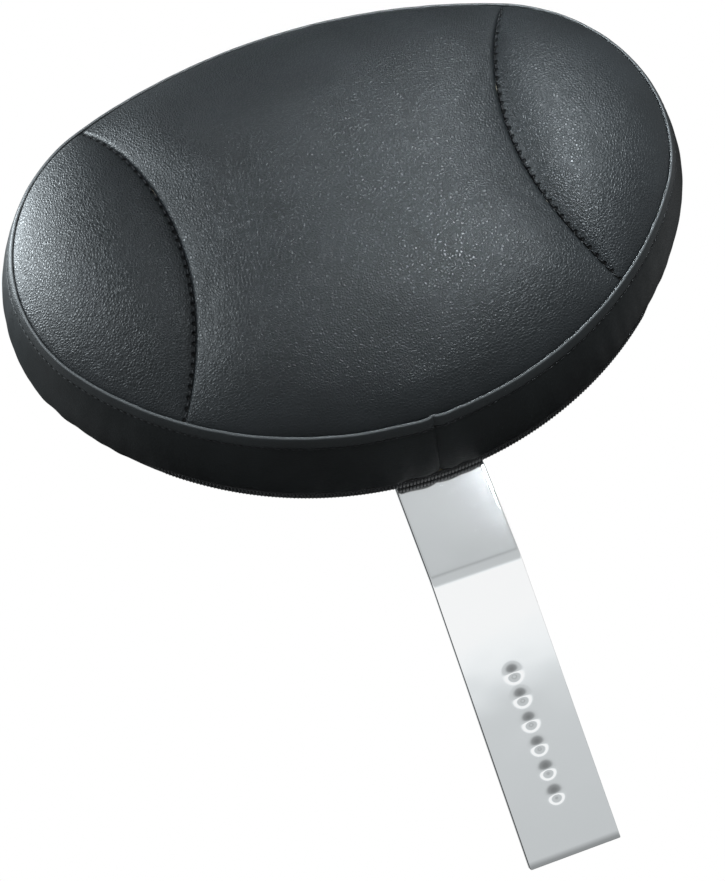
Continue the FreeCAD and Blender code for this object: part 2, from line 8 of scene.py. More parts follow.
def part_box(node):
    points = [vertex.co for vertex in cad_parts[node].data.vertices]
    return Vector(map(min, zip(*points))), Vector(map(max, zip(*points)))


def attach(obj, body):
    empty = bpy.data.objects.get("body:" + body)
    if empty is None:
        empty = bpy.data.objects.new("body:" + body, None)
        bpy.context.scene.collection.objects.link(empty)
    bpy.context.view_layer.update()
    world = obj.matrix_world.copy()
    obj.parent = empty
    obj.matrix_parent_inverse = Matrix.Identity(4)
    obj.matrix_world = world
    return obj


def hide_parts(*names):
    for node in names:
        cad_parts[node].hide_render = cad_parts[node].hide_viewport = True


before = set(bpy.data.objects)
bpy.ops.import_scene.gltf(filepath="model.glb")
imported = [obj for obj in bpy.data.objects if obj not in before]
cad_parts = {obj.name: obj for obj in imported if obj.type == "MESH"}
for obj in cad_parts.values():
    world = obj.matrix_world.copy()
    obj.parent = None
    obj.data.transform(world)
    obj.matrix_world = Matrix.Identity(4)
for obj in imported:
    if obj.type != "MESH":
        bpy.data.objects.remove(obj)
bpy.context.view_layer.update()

# The post is a flat steel bar, bent once below the pad and chrome plated.
# Six shallow notches in its face take the spring plunger of the seat bracket.
mm = 0.001
post_low, post_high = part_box("post_bar")
post_width = post_high.x - post_low.x
post_thickness = 6.35 * mm
post_edge = 0.8 * mm
post_front = -post_thickness / 2
bend_height = 118 * mm
bend_outer_radius = 26.35 * mm
recline = math.radians(13.4)
post_upper_length = 152 * mm
first_notch, notch_pitch, notch_count = 24.3 * mm, 10 * mm, 6
notch_heights = [first_notch + notch_pitch * step for step in range(notch_count)]
notch_radius, notch_skirt = 4.6 * mm, 0.4 * mm
notch_core_radius, notch_core = 1.9 * mm, 0.5 * mm
front_steps, back_steps, corner_steps, smallest_edge = 72, 8, 4, 0.1 * mm

up_post = Vector((0, math.sin(recline), math.cos(recline)))
off_post = Vector((0, -math.cos(recline), math.sin(recline)))
bend_run = bend_outer_radius * math.tan(recline / 2)
bend_length = bend_outer_radius * recline
lower_run = bend_height - bend_run
post_length = lower_run + bend_length + post_upper_length - bend_run


def post_station(along):
    """Point on the middle of the front face, and the direction into the bar."""
    if along <= lower_run:
        return Vector((0, post_front, along)), Vector((0, 1, 0))
    turn = min((along - lower_run) / bend_outer_radius, recline)
    inward = Vector((0, math.cos(turn), -math.sin(turn)))
    hub = Vector((0, post_front + bend_outer_radius, lower_run))
    rest = max(along - lower_run - bend_length, 0)
    return hub - bend_outer_radius * inward + rest * up_post, inward


def post_section(inset):
    """Rounded section as (across, depth) pairs, the front face first and finely divided."""
    half, back = post_width / 2 - inset, post_thickness - inset
    edge = max(post_edge - inset, smallest_edge)
    flat = 2 * half - 2 * edge
    points = []

    def add_corner(across, depth, first, steps):
        for step in steps:
            turn = math.radians(first + 90 * step / corner_steps)
            points.append((across + edge * math.cos(turn), depth + edge * math.sin(turn)))

    for step in range(front_steps + 1):
        points.append((-half + edge + flat * step / front_steps, inset))
    add_corner(half - edge, inset + edge, -90, range(1, corner_steps + 1))
    add_corner(half - edge, back - edge, 0, range(corner_steps + 1))
    for step in range(1, back_steps):
        points.append((half - edge - flat * step / back_steps, back))
    add_corner(edge - half, back - edge, 90, range(corner_steps + 1))
    add_corner(edge - half, inset + edge, 180, range(corner_steps))
    return points


def mesh_piece(name, points, faces, smooth=True):
    """New mesh object in the frame, shaded smooth unless told otherwise."""
    mesh = bpy.data.meshes.new(name)
    mesh.from_pydata([tuple(point) for point in points], [], faces)
    mesh.update()
    mesh.validate()
    for polygon in mesh.polygons:
        polygon.use_smooth = smooth
    piece = bpy.data.objects.new(name, mesh)
    bpy.context.scene.collection.objects.link(piece)
    return piece


def ring_faces(rings, count):
    """Quads between rings of count points each, laid one after another."""
    faces = []
    for ring in range(rings - 1):
        for step in range(count):
            after = (step + 1) % count
            low, high = ring * count, (ring + 1) * count
            faces.append((low + step, low + after, high + after, high + step))
    return faces


end_round, end_turns = 0.35 * mm, (90, 60, 30, 0)
post_stations = []
for turn in end_turns:
    sink = end_round * (1 - math.sin(math.radians(turn)))
    post_stations.append((sink, end_round * (1 - math.cos(math.radians(turn)))))
coarse, fine, notch_margin = 3 * mm, 0.5 * mm, 6 * mm
along = end_round
while along < post_length - end_round - coarse:
    in_notches = notch_heights[0] - notch_margin < along < notch_heights[-1] + notch_margin
    in_bend = lower_run - coarse < along < lower_run + bend_length + coarse
    along += fine if in_notches or in_bend else coarse
    post_stations.append((along, 0))
end_stations = reversed(post_stations[: len(end_turns)])
post_stations += [(post_length - sink, inset) for sink, inset in end_stations]
face_depth = 0.05 * mm

post_points = []
for along, inset in post_stations:
    middle, inward = post_station(along)
    for across, depth in post_section(inset):
        if depth < face_depth:
            for height in notch_heights:
                reach = math.hypot(across, along - height)
                if reach < notch_radius:
                    depth += notch_skirt * math.cos(math.pi / 2 * reach / notch_radius) ** 2
                    depth += notch_core * math.exp(-((reach / notch_core_radius) ** 2))
        post_points.append(middle + Vector((across, 0, 0)) + depth * inward)
section_count = len(post_section(0))
post_faces = ring_faces(len(post_stations), section_count)
post_faces.append(tuple(reversed(range(section_count))))
post_faces.append(tuple(range(len(post_points) - section_count, len(post_points))))
post = mesh_piece("chrome_post", post_points, post_faces)
post.data.polygons[-1].use_smooth = post.data.polygons[-2].use_smooth = False


def new_material(name):
    """Material with a cleared node tree, its Principled shader and its output."""
    material = bpy.data.materials.new(name)
    material.use_nodes = True
    nodes = material.node_tree.nodes
    nodes.clear()
    output = nodes.new("ShaderNodeOutputMaterial")
    shader = nodes.new("ShaderNodeBsdfPrincipled")
    material.node_tree.links.new(shader.outputs[0], output.inputs[0])
    return material, nodes, material.node_tree.links, shader


def node(nodes, kind, **settings):
    """Node with settings; an input's value is given under the input's name."""
    made = nodes.new(kind)
    for key, value in settings.items():
        if hasattr(made, key):
            setattr(made, key, value)
        else:
            made.inputs[key.replace("_", " ")].default_value = value
    return made


def object_texture(nodes, links, kind, **settings):
    """Texture laid over a piece in its own coordinates."""
    place = node(nodes, "ShaderNodeTexCoord")
    texture = node(nodes, kind, **settings)
    links.new(place.outputs["Object"], texture.inputs["Vector"])
    return texture


def ranged(nodes, links, value, **settings):
    """Map Range node that takes in a value from another node."""
    made = node(nodes, "ShaderNodeMapRange", **settings)
    links.new(value, made.inputs["Value"])
    return made


chrome, nodes, links, shader = new_material("polished_chrome")
shader.inputs["Base Color"].default_value = (0.90, 0.91, 0.915, 1)
shader.inputs["Metallic"].default_value = 1
polish = object_texture(nodes, links, "ShaderNodeTexNoise", Scale=26, Detail=1.5)
ripple = node(nodes, "ShaderNodeBump", Strength=0.2, Distance=1.2 * mm)
links.new(polish.outputs["Fac"], ripple.inputs["Height"])
links.new(ripple.outputs["Normal"], shader.inputs["Normal"])
haze = object_texture(nodes, links, "ShaderNodeTexNoise", Scale=160, Detail=4)
haze_range = ranged(nodes, links, haze.outputs["Fac"], To_Min=0.03, To_Max=0.075)
links.new(haze_range.outputs["Result"], shader.inputs["Roughness"])
post.data.materials.append(chrome)
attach(post, "root")
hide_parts("post_bar")

# The pad's board is plywood and carries the tee nuts; moulded foam is glued to it.
# Both stay inside the cover, so the CAD solids are kept and get their finishes here.
pad_up_post = 160 * mm
pad_middle = Vector((0, post_front, bend_height)) + pad_up_post * up_post
pad_turn = Euler((math.radians(90) - recline, 0, 0))


def finish_node(name, material):
    """Puts one material on a CAD node that is kept as it is."""
    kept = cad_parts[name]
    kept.data.materials.clear()
    kept.data.materials.append(material)


def fill_ramp(ramp, stops):
    """Sets a colour ramp to (position, colour) stops."""
    while len(ramp.elements) < len(stops):
        ramp.elements.new(0.5)
    for element, (position, colour) in zip(ramp.elements, stops):
        element.position = position
        element.color = colour


def two_tones(nodes, links, shader, value, dark, light):
    """Base colour that runs between two tones with a texture's value."""
    tones = node(nodes, "ShaderNodeValToRGB")
    fill_ramp(tones.color_ramp, ((0, dark), (1, light)))
    links.new(value, tones.inputs["Fac"])
    links.new(tones.outputs["Color"], shader.inputs["Base Color"])


wood, nodes, links, shader = new_material("birch_plywood")
plies = object_texture(
    nodes, links, "ShaderNodeTexWave", bands_direction="Y", Scale=300, Distortion=1.5, Detail=3
)
two_tones(nodes, links, shader, plies.outputs["Fac"], (0.42, 0.27, 0.14, 1), (0.62, 0.45, 0.27, 1))
shader.inputs["Roughness"].default_value = 0.7
finish_node("pad_board", wood)

foam, nodes, links, shader = new_material("moulded_foam")
pores = object_texture(nodes, links, "ShaderNodeTexVoronoi", Scale=700)
two_tones(nodes, links, shader, pores.outputs["Distance"], (0.45, 0.40, 0.28, 1), (0.62, 0.57, 0.44, 1))
shader.inputs["Roughness"].default_value = 0.9
finish_node("pad_foam", foam)

# The front of the cover is three panels of black vinyl, sewn along two arched seams and pulled tight.
# Each panel bulges over the foam between its seams, so it is laid on the crown and then stuffed.
rim = dict(half_width=141 * mm, top=85 * mm, bottom=106 * mm, side=72 * mm)
rim_height = 37 * mm
crown_height, crown_reach, crown_power = 17 * mm, 70 * mm, 3.2
seam_hub, seam_radius = (194.6 * mm, -7.7 * mm), 123.2 * mm
valley_depth, valley_width, valley_fade = 6.5 * mm, 7 * mm, 22 * mm
tuck_depth, tuck_fade, centre_roll, wing_roll = 1.5 * mm, 4 * mm, 0.5 * mm, 1.8 * mm
rim_turn, rim_turn_width = 1.6 * mm, 1.4 * mm
stuffing_pressure, stuffing_most, stuffing_frames = 4, 1.2 * mm, 20
halvings = 50


def on_pad(x, y, z):
    """Point in the frame from the pad's own axes: across, up the post, and off its back."""
    return pad_middle + Vector((x, 0, 0)) + y * up_post + z * off_post


def oval_arcs(half_width, top, bottom, side):
    """Right, top and bottom arcs as (x, y, radius) that meet smoothly."""
    side_x = half_width - side
    arcs = [(side_x, 0, side)]
    for reach, sign in ((top, 1), (bottom, -1)):
        radius = (side_x**2 + reach**2 - side**2) / (2 * (reach - side))
        arcs.append((0, sign * (reach - radius), radius))
    return arcs


rim_right, rim_top, rim_bottom = oval_arcs(**rim)


def rim_depth(x, y):
    """Distance of a point in from the rim."""
    flat = rim_top if y >= 0 else rim_bottom
    sideways = math.atan2(abs(y - flat[1]), abs(x)) < math.atan2(abs(flat[1]), rim_right[0])
    arc = rim_right if sideways else flat
    return arc[2] - math.hypot(abs(x) - arc[0], y - arc[1])


def seam_distance(x, y, side):
    """Distance outside the circle of the right (1) or left (-1) seam."""
    return math.hypot(x - side * seam_hub[0], y - seam_hub[1]) - seam_radius


def pull(distance, depth):
    """How far a seam holds the cover down at a distance from it."""
    fade = 1 - math.exp(-max(depth, 0) / valley_fade)
    return fade * valley_depth * 2 / (1 + math.exp(distance / valley_width))


def front_height(x, y):
    """Height of the stuffed front over the pad's back."""
    depth = max(rim_depth(x, y), 0)
    crown = crown_height * (1 - (1 - min(depth, crown_reach) / crown_reach) ** crown_power)
    right, left = seam_distance(x, y, 1), seam_distance(x, y, -1)
    if min(right, left) < 0:
        return rim_height + crown - pull(-min(right, left), depth)
    return rim_height + crown - pull(right, depth) - pull(left, depth)


def seam_end(upper):
    """Angle on the right seam's circle where it runs into the rim."""
    inside, outside = math.pi, math.radians(60 if upper else 300)
    for _ in range(halvings):
        turn = (inside + outside) / 2
        point = (
            seam_hub[0] + seam_radius * math.cos(turn),
            seam_hub[1] + seam_radius * math.sin(turn),
        )
        if rim_depth(*point) > 0:
            inside = turn
        else:
            outside = turn
    return turn


seam_from, seam_to = seam_end(True), seam_end(False)


def seam_point(part, side):
    """Point on a seam, from its upper end at part 0 to its lower end at part 1."""
    turn = seam_from + (seam_to - seam_from) * part
    x = seam_hub[0] + seam_radius * math.cos(turn)
    return Vector((side * x, seam_hub[1] + seam_radius * math.sin(turn)))


def oval_turns(shape):
    """Angles at which the top and bottom arcs of an oval hand over to its side arc."""
    right, top, bottom = oval_arcs(**shape)
    return math.atan2(-top[1], right[0]), math.atan2(bottom[1], right[0])


def oval_point(shape, part):
    """Point on an oval, part 0 at the bottom middle, 0.25 at the right, anticlockwise."""
    right, top, bottom = oval_arcs(**shape)
    upper, lower = oval_turns(shape)
    half = part if part <= 0.5 else 1 - part
    runs = (
        (bottom, -math.pi / 2, -lower),
        (right, -lower, upper),
        (top, upper, math.pi / 2),
    )
    lengths = [arc[2] * (end - start) for arc, start, end in runs]
    along = 2 * half * sum(lengths)
    for (arc, start, end), length in zip(runs, lengths):
        if along <= length + 1e-9:
            break
        along -= length
    turn = start + (end - start) * along / length
    outward = Vector((math.cos(turn), math.sin(turn)))
    point = Vector((arc[0], arc[1])) + arc[2] * outward
    if part > 0.5:
        point.x, outward.x = -point.x, -outward.x
    return point, outward


def rim_part_of(target):
    """Part of the way round the right half of the rim at which a point lies."""
    low, high = 0.0, 0.5
    for _ in range(halvings):
        middle = (low + high) / 2
        if oval_point(rim, middle)[0].y < target.y:
            low = middle
        else:
            high = middle
    return middle


rim_low_part = rim_part_of(seam_point(1, 1))
rim_high_part = rim_part_of(seam_point(0, 1))


def eased(step, steps, closeness=0.8):
    """Spacing that is close at both ends, where the cover turns in to its seams."""
    part = step / steps
    return part - closeness * math.sin(2 * math.pi * part) / (2 * math.pi)


def centre_patch(across, down):
    """Plan point of the centre panel, blended between its two seams and its two rim edges."""
    left, right = seam_point(down, -1), seam_point(down, 1)
    lower = rim_low_part * (2 * across - 1)
    upper = rim_high_part + (0.5 - rim_high_part) * 2 * (1 - across)
    top = oval_point(rim, upper)[0]
    bottom = oval_point(rim, lower % 1)[0]
    ruled = left.lerp(right, across)
    edges = top.lerp(bottom, down)
    ends_top = seam_point(0, -1).lerp(seam_point(0, 1), across)
    ends_bottom = seam_point(1, -1).lerp(seam_point(1, 1), across)
    return ruled + edges - ends_top.lerp(ends_bottom, down)


def wing_patch(across, down, side):
    """Plan point of a side panel, from its seam at across 0 to the rim at across 1."""
    part = rim_high_part + (rim_low_part - rim_high_part) * down
    edge = oval_point(rim, part)[0]
    return seam_point(down, 1).lerp(edge, across) * Vector((side, 1))


def plan_grid(patch, columns, rows):
    """Grid of plan points with close spacing at the edges, and its quads."""
    plan = []
    for row in range(rows + 1):
        for column in range(columns + 1):
            plan.append(patch(eased(column, columns), eased(row, rows)))
    faces = []
    for row in range(rows):
        for column in range(columns):
            first = row * (columns + 1) + column
            faces.append((first, first + columns + 1, first + columns + 2, first + 1))
    return plan, faces


def panel_piece(name, patch, columns, rows, mirrored):
    """Panel laid over the crown, with its doubled corner points joined."""
    plan, faces = plan_grid(patch, columns, rows)
    if mirrored:
        faces = [tuple(reversed(face)) for face in faces]
    points = [on_pad(spot.x, spot.y, front_height(spot.x, spot.y)) for spot in plan]
    panel = mesh_piece(name, points, faces)
    shape = bmesh.new()
    shape.from_mesh(panel.data)
    bmesh.ops.remove_doubles(shape, verts=shape.verts, dist=0.02 * mm)
    shape.to_mesh(panel.data)
    shape.free()
    return panel


def stuff(panel, pressure, most):
    """Swells a panel between its held edges by cloth simulation, moving no point further than most."""
    laid = [vertex.co.copy() for vertex in panel.data.vertices]
    uses = [0] * len(panel.data.edges)
    for loop in panel.data.loops:
        uses[loop.edge_index] += 1
    edge_points = set()
    for edge in panel.data.edges:
        if uses[edge.index] == 1:
            edge_points.update(edge.vertices)
    held = panel.vertex_groups.new(name="sewn_edge")
    held.add(sorted(edge_points), 1, "REPLACE")
    cloth = panel.modifiers.new("stuffing", "CLOTH")
    cloth.settings.vertex_group_mass = held.name
    cloth.settings.use_pressure = True
    cloth.settings.uniform_pressure_force = pressure
    cloth.settings.effector_weights.gravity = 0
    cloth.settings.quality = 6
    cloth.collision_settings.use_collision = False
    cloth.point_cache.frame_start, cloth.point_cache.frame_end = 1, stuffing_frames
    for step in range(1, stuffing_frames + 1):
        bpy.context.scene.frame_set(step)
    swelled = panel.evaluated_get(bpy.context.evaluated_depsgraph_get())
    moves = [vertex.co - start for vertex, start in zip(swelled.data.vertices, laid)]
    panel.modifiers.remove(cloth)
    panel.vertex_groups.remove(held)
    for vertex, start, move in zip(panel.data.vertices, laid, moves):
        if move.length > most:
            move = move.normalized() * most
        vertex.co = start + move
    bpy.context.scene.frame_set(1)


def tuck_in(panel, tuck_width):
    """Turns a panel's edges down into the seams and the rim, as its sewn allowance does."""
    for vertex in panel.data.vertices:
        spot = vertex.co - pad_middle
        x, y = spot.x, spot.dot(up_post)
        seam = min(abs(seam_distance(x, y, 1)), abs(seam_distance(x, y, -1)))
        depth = max(rim_depth(x, y), 0)
        tuck = tuck_depth * math.exp(-seam / tuck_width) * (1 - math.exp(-depth / tuck_fade))
        roll = rim_turn * math.exp(-depth / rim_turn_width)
        vertex.co -= (tuck + roll) * off_post


def figure(nodes, links, operation, *values):
    """Result of a Math node over sockets and plain numbers, given in order."""
    made = node(nodes, "ShaderNodeMath", operation=operation)
    for socket, value in zip(made.inputs, values):
        if isinstance(value, bpy.types.NodeSocket):
            links.new(value, socket)
        else:
            socket.default_value = value
    return made.outputs[0]


crease_share = 0.5
vinyl_grain = bpy.data.node_groups.new("vinyl_grain", "ShaderNodeTree")
for name, kind, way in (
    ("Vector", "NodeSocketVector", "INPUT"),
    ("Pebbles", "NodeSocketFloat", "INPUT"),
    ("Height", "NodeSocketFloat", "OUTPUT"),
    ("Tone", "NodeSocketFloat", "OUTPUT"),
):
    vinyl_grain.interface.new_socket(name=name, in_out=way, socket_type=kind)
nodes, links = vinyl_grain.nodes, vinyl_grain.links
given = node(nodes, "NodeGroupInput")
made = node(nodes, "NodeGroupOutput")
sway = node(nodes, "ShaderNodeTexNoise", Scale=220, Detail=2)
links.new(given.outputs["Vector"], sway.inputs["Vector"])
sway_size = node(nodes, "ShaderNodeVectorMath", operation="SCALE", Scale=0.0016)
links.new(sway.outputs["Color"], sway_size.inputs[0])
swayed = node(nodes, "ShaderNodeVectorMath", operation="ADD")
links.new(given.outputs["Vector"], swayed.inputs[0])
links.new(sway_size.outputs[0], swayed.inputs[1])
pebbles = node(nodes, "ShaderNodeTexVoronoi", feature="DISTANCE_TO_EDGE")
links.new(swayed.outputs[0], pebbles.inputs["Vector"])
links.new(given.outputs["Pebbles"], pebbles.inputs["Scale"])
rounded = ranged(
    nodes, links, pebbles.outputs["Distance"], From_Max=0.32, interpolation_type="SMOOTHSTEP"
)
creases = node(nodes, "ShaderNodeTexNoise", Scale=420, Detail=4, Roughness=0.6, Distortion=0.6)
links.new(given.outputs["Vector"], creases.inputs["Vector"])
height = figure(
    nodes, links, "MULTIPLY_ADD", creases.outputs["Fac"], crease_share, rounded.outputs["Result"]
)
links.new(height, made.inputs["Height"])
patches = node(nodes, "ShaderNodeTexNoise", Scale=38, Detail=4)
links.new(given.outputs["Vector"], patches.inputs["Vector"])
links.new(patches.outputs["Fac"], made.inputs["Tone"])


def pad_coordinates(nodes, links):
    """Texture place measured on the pad's own axes."""
    place = node(nodes, "ShaderNodeTexCoord")
    mapping = node(nodes, "ShaderNodeMapping", vector_type="TEXTURE")
    mapping.inputs["Location"].default_value = pad_middle
    mapping.inputs["Rotation"].default_value = pad_turn
    links.new(place.outputs["Object"], mapping.inputs["Vector"])
    return mapping.outputs["Vector"]


def vinyl_material(name, dark, light, roughness, pebble_scale, grain_depth):
    """Black vinyl with pebbled grain; returns what further nodes need."""
    material, nodes, links, shader = new_material(name)
    spot = pad_coordinates(nodes, links)
    grain = node(nodes, "ShaderNodeGroup", node_tree=vinyl_grain)
    grain.inputs["Pebbles"].default_value = pebble_scale
    links.new(spot, grain.inputs["Vector"])
    tones = node(nodes, "ShaderNodeValToRGB")
    fill_ramp(tones.color_ramp, ((0.3, dark), (0.7, light)))
    links.new(grain.outputs["Tone"], tones.inputs["Fac"])
    crease_roughness, pebble_roughness = roughness + 0.14, roughness - 0.06
    gloss = ranged(nodes, links, grain.outputs["Height"], From_Min=0.2, From_Max=1.3)
    gloss.inputs["To Min"].default_value = crease_roughness
    gloss.inputs["To Max"].default_value = pebble_roughness
    links.new(gloss.outputs["Result"], shader.inputs["Roughness"])
    bump = node(nodes, "ShaderNodeBump", Strength=0.5, Distance=grain_depth)
    links.new(grain.outputs["Height"], bump.inputs["Height"])
    links.new(bump.outputs["Normal"], shader.inputs["Normal"])
    links.new(tones.outputs["Color"], shader.inputs["Base Color"])
    return material, nodes, links, shader, spot, tones, bump


front_vinyl, nodes, links, shader, spot, tones, bump = vinyl_material(
    "front_vinyl", (0.0048, 0.006, 0.0068, 1), (0.0078, 0.0094, 0.0106, 1), 0.4, 820, 0.24 * mm
)
shader.inputs["Specular IOR Level"].default_value = 0.26
hole_pitch, hole_radius, hole_offset, hole_depth = 4.2 * mm, 0.95 * mm, 0.7 * mm, 0.9 * mm
hole_floor = 0.45 * hole_radius
shift = node(nodes, "ShaderNodeSeparateXYZ")
links.new(spot, shift.inputs[0])
across = figure(nodes, links, "ABSOLUTE", shift.outputs["X"])
inward = figure(nodes, links, "SUBTRACT", seam_hub[0], across)
upward = figure(nodes, links, "SUBTRACT", shift.outputs["Y"], seam_hub[1])
seam_turn = figure(nodes, links, "ARCTAN2", upward, inward)
inward_squared = figure(nodes, links, "MULTIPLY", inward, inward)
reach_squared = figure(nodes, links, "MULTIPLY_ADD", upward, upward, inward_squared)
seam_reach = figure(nodes, links, "SQRT", reach_squared)
off_seam = figure(nodes, links, "SUBTRACT", seam_reach, seam_radius - hole_offset)
along_seam = figure(nodes, links, "MULTIPLY", seam_turn, seam_radius)
hole_step = figure(nodes, links, "PINGPONG", along_seam, hole_pitch / 2)
hole_place = node(nodes, "ShaderNodeCombineXYZ")
links.new(off_seam, hole_place.inputs["X"])
links.new(hole_step, hole_place.inputs["Y"])
hole_reach = node(nodes, "ShaderNodeVectorMath", operation="LENGTH")
links.new(hole_place.outputs[0], hole_reach.inputs[0])
hole_mask = ranged(nodes, links, hole_reach.outputs["Value"], From_Min=hole_radius, From_Max=hole_floor)
# Painted shade: the needle holes along the seams are darkened to near black in the base colour, besides
# the bump that sinks them.
holes_painted_dark = node(nodes, "ShaderNodeMix", data_type="RGBA", blend_type="MIX")
holes_painted_dark.inputs["B"].default_value = (0.0008, 0.0008, 0.0009, 1)
links.new(hole_mask.outputs["Result"], holes_painted_dark.inputs["Factor"])
links.new(tones.outputs["Color"], holes_painted_dark.inputs["A"])
links.new(holes_painted_dark.outputs["Result"], shader.inputs["Base Color"])
prick = node(nodes, "ShaderNodeBump", Strength=1, Distance=hole_depth, invert=True)
links.new(hole_mask.outputs["Result"], prick.inputs["Height"])
links.new(prick.outputs["Normal"], bump.inputs["Normal"])

panels = [
    panel_piece("cover_centre", centre_patch, 64, 72, False),
    panel_piece("cover_right", lambda across, down: wing_patch(across, down, 1), 36, 60, False),
    panel_piece("cover_left", lambda across, down: wing_patch(across, down, -1), 36, 60, True),
]
panel_nodes = ("cover_centre_panel", "cover_right_panel", "cover_left_panel")
panel_rolls = (centre_roll, wing_roll, wing_roll)
for panel, replaced, roll in zip(panels, panel_nodes, panel_rolls):
    stuff(panel, stuffing_pressure, stuffing_most)
    tuck_in(panel, roll)
    panel.modifiers.new("smooth_cover", "SUBSURF").render_levels = 1
    panel.data.materials.append(front_vinyl)
    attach(panel, "root")
    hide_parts(replaced)

# The side band is one strip of vinyl sewn to the front round the rim, its ends joined at the bottom.
# Its upper edge is folded and topstitched; its lower hem is turned under above the zip.
rear = dict(half_width=152 * mm, top=95 * mm, bottom=119 * mm, side=78 * mm)
swell_height, swell = 16 * mm, 2.5 * mm
waist = {key: rear[key] + (rim[key] - rear[key]) * swell_height / rim_height + swell for key in rim}
topstitch_drop = 4.4 * mm
zip_width, zip_half_angle, zip_fade = 6 * mm, math.radians(43), 0.004
pinch, pinch_width = 0.9 * mm, 0.9 * mm
puff, puff_away, puff_width = 0.35 * mm, 5 * mm, 4 * mm
hem_wave, hem_waves, hem_reach = 0.7 * mm, 90, 9 * mm
ripple_depth, hem_ripple, ripple_around, ripple_up = 0.15 * mm, 0.45 * mm, 140, 45
band_lift, band_columns, band_rows = 0.1 * mm, 440, 16


def oval_half_length(shape):
    """Length of half the way round an oval."""
    right, top, bottom = oval_arcs(**shape)
    upper, lower = oval_turns(shape)
    ends = bottom[2] * (math.pi / 2 - lower) + top[2] * (math.pi / 2 - upper)
    return ends + right[2] * (lower + upper)


zip_part = oval_arcs(**rear)[2][2] * zip_half_angle / oval_half_length(rear) / 2


def band_point(part, height):
    """Plan point and outward direction on the band's bowed side at a height."""
    low, middle, high = (oval_point(shape, part)[0] for shape in (rear, waist, rim))
    a, b, c = 0, swell_height, rim_height
    by_low = (height - b) * (height - c) / ((a - b) * (a - c))
    by_middle = (height - a) * (height - c) / ((b - a) * (b - c))
    by_high = (height - a) * (height - b) / ((c - a) * (c - b))
    return by_low * low + by_middle * middle + by_high * high, oval_point(waist, part)[1]


def over_zip(part):
    """1 where the zip shows below the band, fading to 0 at its ends."""
    return 1 / (1 + math.exp((min(part, 1 - part) - zip_part) / zip_fade))


def hem_height(part):
    """Lower edge of the band: up over the zip with a slight wave, down to the back elsewhere."""
    off_middle = part if part < 0.5 else part - 1
    wave = noise.noise(Vector((off_middle * hem_waves, 3.1, 0)))
    return over_zip(part) * (zip_width + hem_wave * wave)


def seam_pinch(part):
    """How far the joining seam at the bottom middle draws the band in, less the puff beside it."""
    away = min(part, 1 - part) * 2 * oval_half_length(waist)
    beside = puff * math.exp(-(((away - puff_away) / puff_width) ** 2))
    return pinch * math.exp(-away / pinch_width) - beside


fold_rows = [
    (2.6 * mm, -1.7 * mm),
    (0.9 * mm, -1.45 * mm),
    (0.05 * mm, -1.05 * mm),
    (-0.3 * mm, -0.5 * mm),
    (-0.15 * mm, 0.05 * mm),
    (0.5 * mm, 0.4 * mm),
    (1.5 * mm, 0.5 * mm),
    (2.9 * mm, 0.5 * mm),
    (3.8 * mm, 0.35 * mm),
    (topstitch_drop, -0.25 * mm),
    (5.0 * mm, 0.05 * mm),
    (6.2 * mm, 0.15 * mm),
]
hem_rows = [
    (0.5 * mm, 0.05 * mm),
    (0.1 * mm, -0.35 * mm),
    (0.1 * mm, -0.9 * mm),
    (0.6 * mm, -1.3 * mm),
    (5 * mm, -1.4 * mm),
]
band_points = []
for column in range(band_columns):
    part = eased(column, band_columns)
    hem = hem_height(part)
    rows = [(rim_height - drop, out) for drop, out in fold_rows]
    start = rim_height - fold_rows[-1][0]
    for row in range(1, band_rows):
        height = start + (hem + hem_rows[0][0] - start) * row / band_rows
        rows.append((height, band_lift))
    rows += [(hem + rise, out) for rise, out in hem_rows]
    for height, out in rows:
        plan, outward = band_point(part, height)
        ripple = noise.noise(Vector((part * ripple_around, height * ripple_up, 7.7)))
        near_hem = math.exp(-abs(height - hem) / hem_reach)
        lift = out - seam_pinch(part) + ripple * (ripple_depth + hem_ripple * near_hem)
        spot_on = plan + outward * lift
        band_points.append(on_pad(spot_on.x, spot_on.y, height))
row_count = len(fold_rows) + band_rows - 1 + len(hem_rows)
band_faces = []
for column in range(band_columns):
    after = (column + 1) % band_columns
    for row in range(row_count - 1):
        low, high = column * row_count + row, after * row_count + row
        band_faces.append((low, low + 1, high + 1, high))
band = mesh_piece("cover_band", band_points, band_faces)
band.modifiers.new("smooth_cover", "SUBSURF").render_levels = 1
band_vinyl, nodes, links, shader, spot, tones, _ = vinyl_material(
    "band_vinyl", (0.0045, 0.0052, 0.0054, 1), (0.007, 0.008, 0.0083, 1), 0.36, 1150, 0.08 * mm
)
shader.inputs["Specular IOR Level"].default_value = 0.15
band_place = node(nodes, "ShaderNodeSeparateXYZ")
links.new(spot, band_place.inputs[0])
# Painted sheen: the band's folded lip is lightened in the base colour where it catches the light, a
# little on the strip between the topstitch row and the fold, fully on the fold's crest, and not below
# the stitch row.
lip = node(nodes, "ShaderNodeValToRGB")
lip_low, lip_high = rim_height - 2 * topstitch_drop, rim_height + topstitch_drop
lip_sheen_shares = (
    (rim_height - topstitch_drop - 0.3 * mm, 0.0),
    (rim_height - topstitch_drop + 0.5 * mm, 0.1),
    (rim_height - 0.2 * mm, 0.1),
    (rim_height + 0.15 * mm, 1.0),
)
lip_span = lip_high - lip_low
lip_stops = [((height - lip_low) / lip_span, (share, share, share, 1)) for height, share in lip_sheen_shares]
fill_ramp(lip.color_ramp, lip_stops)
lip_place = ranged(nodes, links, band_place.outputs["Z"], From_Min=lip_low, From_Max=lip_high)
links.new(lip_place.outputs["Result"], lip.inputs["Fac"])
